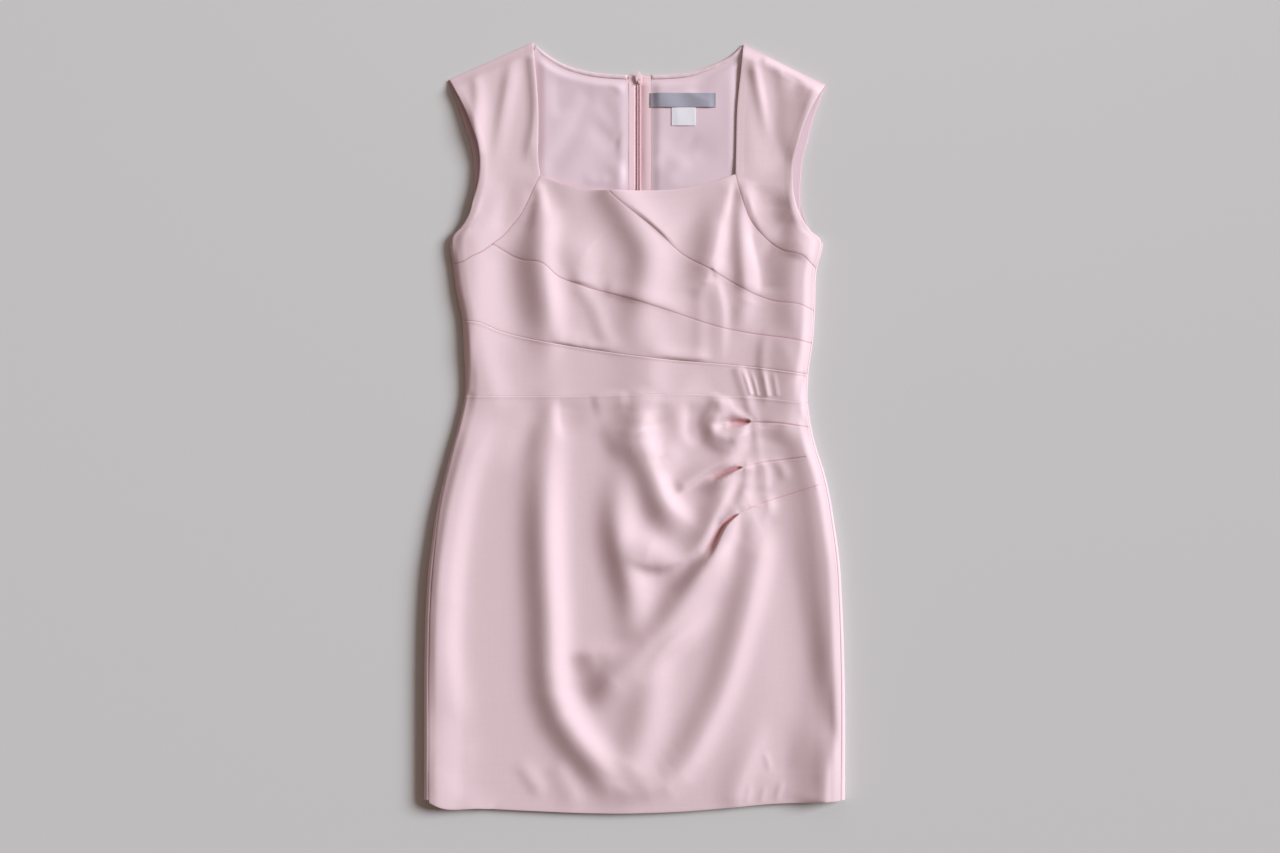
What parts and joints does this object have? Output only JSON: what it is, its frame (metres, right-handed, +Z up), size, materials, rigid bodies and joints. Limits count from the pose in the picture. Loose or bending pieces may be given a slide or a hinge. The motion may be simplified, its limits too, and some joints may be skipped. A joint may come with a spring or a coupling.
{
  "type": "sheath dress",
  "caption": "Sleeveless knee-length sheath dress lying flat on its back, with a square front neck, diagonal bodice seams and a skirt draped from tucks at one side.",
  "frame": {"origin": "on the surface the dress lies on, under the middle of its outline", "axes": "+X to the wearer's left, +Y towards the neck, +Z up from the surface"},
  "size_m": [0.5051, 0.9258, 0.0239],
  "materials": {
    "crepe": "matt crepe",
    "satin_lining": "smooth satin",
    "zip_tape": "woven tape",
    "zip_coil": "nylon coil",
    "zip_metal": "painted to match the cloth",
    "label_satin": "grey satin ribbon",
    "label_white": "white ribbon"
  },
  "bodies": {
    "dress": {"front_yoke_right": "crepe", "front_yoke_left": "crepe", "front_bust_upper": "crepe", "front_bust_main": "crepe", "front_midriff_upper": "crepe", "front_midriff_lower": "crepe", "front_skirt": "crepe", "back_bodice_right": "crepe", "back_bodice_left": "crepe", "back_skirt_right": "crepe", "back_skirt_left": "crepe", "back_lining_right": "satin_lining", "back_lining_left": "satin_lining", "zip_tape_right": "zip_tape", "zip_tape_left": "zip_tape", "zip_coil": "zip_coil", "zip_slider": "zip_metal", "neck_label": "label_satin", "care_label": "label_white"},
    "zip_pull": {"zip_pull_tab": "zip_metal"}
  },
  "joints": [
    {"name": "pull_tab_hinge", "type": "hinge", "parent": "dress", "child": "zip_pull", "pos_m": [0.005, 0.41495, 0.0056], "axis": [1, 0, 0], "range_deg": [0, 170]}
  ]
}
